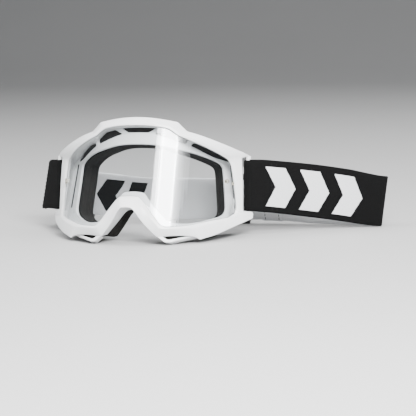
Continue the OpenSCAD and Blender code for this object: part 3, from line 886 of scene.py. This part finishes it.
def add_band(name, edge, up, materials, start_u=0.0, ripple=None):
    """A woven band along edge (its lower edge) with its width along up. Faces carry a UV in metres
    along and across, and the material slots are the outer and the inner face, which share the edges."""
    out = directions(edge, up)[1]
    points, kinds = band_profile(WEB_T, WEB_W)
    reach = start_u + np.concatenate([[0], np.cumsum(np.linalg.norm(np.diff(edge, axis=0), axis=1))])
    count, side = len(edge), len(points)
    verts = np.zeros((count, side, 3))
    for j, (o, w) in enumerate(points):
        shift, grow = (0, 0) if ripple is None else ripple(reach, w)
        verts[:, j] = edge + out * (o + shift) + up * (w + grow)
    faces, face_kinds, uvs = [], [], []
    for i in range(count - 1):
        for j in range(side):
            k = (j + 1) % side
            faces.append((i * side + j, i * side + k, (i + 1) * side + k, (i + 1) * side + j))
            face_kinds.append(max(kinds[j], kinds[k]))
            w0, w1 = points[j][1], points[k][1]
            uvs += [(reach[i], w0), (reach[i], w1), (reach[i + 1], w1), (reach[i + 1], w0)]
    faces += [tuple(range(side)), tuple(range((count - 1) * side, count * side))]
    face_kinds += [0, 0]
    uvs += [(reach[0], w) for _, w in points] + [(reach[-1], w) for _, w in points]
    mesh = bpy.data.meshes.new(name)
    mesh.from_pydata([tuple(v * MM) for v in verts.reshape(-1, 3)], [], faces)
    for m in materials:
        mesh.materials.append(m)
    mesh.polygons.foreach_set("material_index", np.array(face_kinds, np.int32))
    layer = mesh.uv_layers.new(name="weave")
    layer.data.foreach_set("uv", (np.array(uvs) * MM).astype(np.float32).ravel())
    bm = bmesh.new()
    bm.from_mesh(mesh)
    bmesh.ops.recalc_face_normals(bm, faces=bm.faces)
    bm.to_mesh(mesh)
    bm.free()
    return finish_mesh(name, mesh, 50)


# How much wider the relaxed elastic is, in mm, at distances along it from the bar
RELAXED_AT, RELAXED = (0, 12, 60, 92, 122, 145), (0.7, 1.7, 2.8, 2.8, 0.8, 0)


def edge_ripple(reach, w):
    """The elastic's edges wander a little, and it relaxes wider between the bar and the fold. Returns
    how far the point at w across moves outwards and up."""
    share = abs(w / WEB_W - 0.5) * 2
    calm = np.clip(reach / 40, 0, 1) * np.clip((reach[-1] - reach - 115) / 40, 0, 1)
    wave = np.sin(reach / 23 + 1.3) * 0.25 + np.sin(reach / 11) * 0.1
    relaxed = np.interp(reach, RELAXED_AT, RELAXED) * w / WEB_W
    return (calm * wave * share**3)[:, None], relaxed[:, None]


LAP = WEB_T + 0.2
LAP_SLOPE, LAP_FROM = 0.34, 3


def tail_gap(from_bar):
    return max(LAP, 2 * LOOP_R - LAP_SLOPE * max(0, from_bar - LAP_FROM))


def loop_path(side, tail):
    angles = [OUT_ANGLE - math.radians(7.5 * k) for k in range(25)]
    flip = (lambda v: v) if side > 0 else across_x
    edge = [flip(loop_edge(a)) for a in angles]
    up = [flip(bar_dir)] * len(edge)
    bar_at = strap_edge[0] if side > 0 else strap_edge[-1]
    for i in tail:
        edge.append(strap_edge[i] - tail_gap(np.linalg.norm(strap_edge[i] - bar_at)) * strap_out[i])
        up.append(strap_up[i])
    return np.array(edge), np.array(up)


JOIN_FIRST = STEPS * (len(FRONT_EDGE) + 7) + 4
JOIN_LAST = STEPS * (len(FRONT_EDGE) + 8) + 8


def build_strap(outer, inner, black):
    strap = add_band("strap_elastic", strap_edge, strap_up, [outer, inner], ripple=edge_ripple)
    ride(strap, "root", "elastic", "strap_left", "strap_back", "strap_right")
    last = len(strap_edge) - 1
    tails = {"left": (1, range(2, 17)), "right": (-1, range(last - 4, last - 29, -1))}
    for name, (side, tail) in tails.items():
        edge, up = loop_path(side, tail)
        loop = add_band("strap_loop_" + name + "_woven", edge, up, [black, black])
        ride(loop, "root", "elastic", "strap_loop_" + name)
    rows = range(JOIN_FIRST, JOIN_LAST + 1)
    edge = np.array([strap_edge[i] - (WEB_T + 0.05) * strap_out[i] for i in rows])
    join = add_band("strap_join_woven", edge, np.array([strap_up[i] for i in rows]),
                    [inner, inner], start_u=900.0)
    ride(join, "root", "elastic", "strap_join")


# ---------------------------------------------------------------- stitching
STITCH_LONG, STITCH_R, STITCH_PITCH, STITCH_COUNT, STITCH_MARGIN = 2.7, 0.3, 3.6, 12, 1.8
STITCH_SIDES = 8


def stitch_mesh(foot, up, out, along):
    """One thread: a thin arch that dips into the web at both ends."""
    verts, steps = [], 8
    for k in range(steps + 1):
        t = k / steps
        lift = 0.32 * math.sin(math.pi * t)
        r = STITCH_R * (0.45 + 0.55 * math.sin(math.pi * t) ** 0.5)
        centre = foot + up * STITCH_LONG * t + out * lift
        for s in range(STITCH_SIDES):
            a = 2 * math.pi * s / STITCH_SIDES
            verts.append(centre + r * (along * math.cos(a) + out * 0.7 * math.sin(a)))
    faces = ring_faces(steps + 1, STITCH_SIDES, closed=False)
    faces += [tuple(range(STITCH_SIDES)), tuple(range(steps * STITCH_SIDES, (steps + 1) * STITCH_SIDES))]
    return verts, faces


def in_chevron(along, across):
    """Whether a point of the outer face, in mm along and across the strap, is inside a chevron."""
    off_middle = abs(across - WEB_W / 2) * MM
    for start, pitch, count in CHEVRONS:
        which, place = divmod(along * MM - start + off_middle * CHEVRON_SLOPE, pitch)
        if 0 <= which < count and place < CHEVRON_ARM and off_middle < CHEVRON_HIGH / 2:
            return True
    return False


def build_stitches(name, stations, offset, way, threads, slot_node):
    """Rows of stitches in the first of threads, and in the last of them where they cross a chevron."""
    reach = np.concatenate([[0], np.cumsum(np.linalg.norm(np.diff(strap_edge, axis=0), axis=1))])
    verts, faces, picks = [], [], []
    for i in stations:
        for k in range(STITCH_COUNT):
            height = STITCH_MARGIN + k * STITCH_PITCH
            foot = strap_edge[i] + height * strap_up[i] + offset * strap_out[i]
            v, f = stitch_mesh(foot, strap_up[i], way * strap_out[i], strap_along[i])
            faces += [tuple(x + len(verts) for x in face) for face in f]
            verts += v
            picks += [in_chevron(reach[i], height + STITCH_LONG / 2) * (len(threads) - 1)] * len(f)
    piece = add_mesh(name, np.array(verts) * MM, faces, threads, sharp=80)
    piece.data.polygons.foreach_set("material_index", np.array(picks, np.int32))
    ride(piece, "root", "thread", slot_node)


# ---------------------------------------------------------------- adjusters
def build_adjusters(black):
    for name in ("adjuster_left", "adjuster_right"):
        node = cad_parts[name]
        node.data.materials.clear()
        node.data.materials.append(black)
        bevel = node.modifiers.new("soft_edges", "BEVEL")
        bevel.width, bevel.segments, bevel.limit_method = 0.0006, 3, "ANGLE"


# ---------------------------------------------------------------- stage
def area_light(name, at, aim, size, power):
    data = bpy.data.lights.new(name, "AREA")
    data.shape, data.size, data.size_y = "RECTANGLE", size[0], size[1]
    data.energy = power
    light = bpy.data.objects.new(name, data)
    light.location = at
    light.rotation_euler = (Vector(aim) - Vector(at)).to_track_quat("-Z", "Y").to_euler()
    light.visible_camera = False
    bpy.context.scene.collection.objects.link(light)
    return light


# Softbox panels seen in the lens: first and last bearing in degrees, and brightness
STRIP_RISE, STRIP_FAR, STRIP_TALL = 32.0, 1.25, 0.42
STRIP_ROLL = math.radians(-26)
STRIPS = [(10.5, 16, 95), (16, 20, 150), (20, 40, 235), (40, 42, 140), (42, 44, 85), (44, 46.5, 52),
          (46.5, 49.5, 32), (49.5, 53, 19), (53, 57, 11), (57, 62, 6)]


# The other softboxes: bearing, rise, distance, size and power
SOFT_LIGHTS = [
    ("top_soft", -30, 72, 1.3, (1.2, 1.0), 24),
    ("left_fill", -75, 50, 1.5, (0.8, 0.7), 10),
    ("right_fill", 95, 48, 1.5, (0.8, 0.7), 8),
    ("low_front", 5, 2, 1.8, (1.6, 0.25), 2.5),
    ("back_fill", 170, 55, 1.6, (1.4, 0.8), 16),
]
LENS_MIDDLE = (0.02, -0.005, 0.07)
WORLD_COLOUR, WORLD_STRENGTH = (0.9, 0.95, 1.0, 1), 0.17


def light_at(name, aim, bearing, rise, far, size, power):
    """A softbox far metres from aim, at a bearing from straight ahead and a rise, in degrees."""
    b, r = math.radians(bearing), math.radians(rise)
    away = Vector((math.sin(b) * math.cos(r), -math.cos(b) * math.cos(r), math.sin(r)))
    return area_light(name, Vector(aim) + away * far, aim, size, power)


def make_stage():
    n = Nodes("pale_floor")
    cloud = n.noise(3, 3, object_coordinates(n))
    shader = n.add("BsdfPrincipled", {"Base Color": n.mix(cloud, grey(0.42), grey(0.45)),
                                      "Roughness": 0.6})
    floor_material = n.finish(shader.outputs[0])
    radius, curve_r, steps = 6.0, 1.5, 12
    rows = [(-radius, 0.0), (2.0, 0.0)]
    rows += [(2.0 + curve_r * math.sin(a), curve_r * (1 - math.cos(a)))
             for a in np.linspace(0, math.pi / 2, steps)[1:]]
    rows += [(2.0 + curve_r, 5.0)]
    verts = [(x, y, z) for y, z in rows for x in (-radius, radius)]
    faces = [(2 * i, 2 * i + 1, 2 * i + 3, 2 * i + 2) for i in range(len(rows) - 1)]
    floor = add_mesh("floor", verts, faces, [floor_material], sharp=80)
    world = bpy.data.worlds.new("studio")
    world.use_nodes = True
    background = world.node_tree.nodes["Background"]
    background.inputs["Color"].default_value = WORLD_COLOUR
    background.inputs["Strength"].default_value = WORLD_STRENGTH
    bpy.context.scene.world = world
    for k, (first, last, bright) in enumerate(STRIPS):
        width = 2 * STRIP_FAR * math.tan(math.radians(last - first) / 2) * math.cos(STRIP_ROLL)
        size, power = (width, STRIP_TALL), bright * width * STRIP_TALL
        middle = (first + last) / 2
        strip = light_at("lens_strip_%d" % k, LENS_MIDDLE, middle, STRIP_RISE, STRIP_FAR, size, power)
        strip.rotation_euler.rotate_axis("Z", STRIP_ROLL)
    for name, *placing in SOFT_LIGHTS:
        light_at(name, LENS_MIDDLE, *placing)


# ---------------------------------------------------------------- build
make_camera()
frame_white = make_frame_white()
lens_clear = make_lens_clear()
post_clear = make_post_clear()
face_foam = make_foam("face_foam", 0.006, 0.017, 0.0011)
filter_foam = make_foam("filter_foam", 0.004, 0.014, 0.0016)
fleece = make_foam("fleece", 0.01, 0.026, 0.0005)
COOL = (0.97, 0.98, 1.0)
BLACK_YARN, WHITE_YARN, GREY_YARN = (0.003, 0.008, COOL), (0.68, 0.9, COOL), (0.7, 0.88, COOL)
web_outer = make_web("web_outer", BLACK_YARN, WHITE_YARN, 0.015)
web_inner = make_web("web_inner", GREY_YARN, BLACK_YARN, 0.015)
web_black = make_web("web_black", BLACK_YARN, BLACK_YARN, 0.015)
black_thread, white_thread = make_thread("thread", 0.012), make_thread("thread_white", 0.85)

build_shell(frame_white)
build_flange(frame_white)
build_blades(frame_white)
build_filters(filter_foam)
build_lens(lens_clear, make_lens_rim())
build_posts(post_clear)
build_bars(frame_white)
build_foam(face_foam, fleece)
build_strap(web_outer, web_inner, web_black)
strap_last = len(strap_edge) - 1
LOOP_ROWS = [10, 12, strap_last - 20, strap_last - 26]
build_stitches("loop_stitching_thread", LOOP_ROWS, WEB_T / 2, 1, [black_thread, white_thread],
               "loop_stitching")
JOIN_ROWS = [JOIN_FIRST + 2, JOIN_LAST - 2]
build_stitches("join_stitching_thread", JOIN_ROWS, -(WEB_T + 0.05) - WEB_T / 2, -1, [black_thread],
               "join_stitching")
build_adjusters(make_black_plastic())
make_stage()
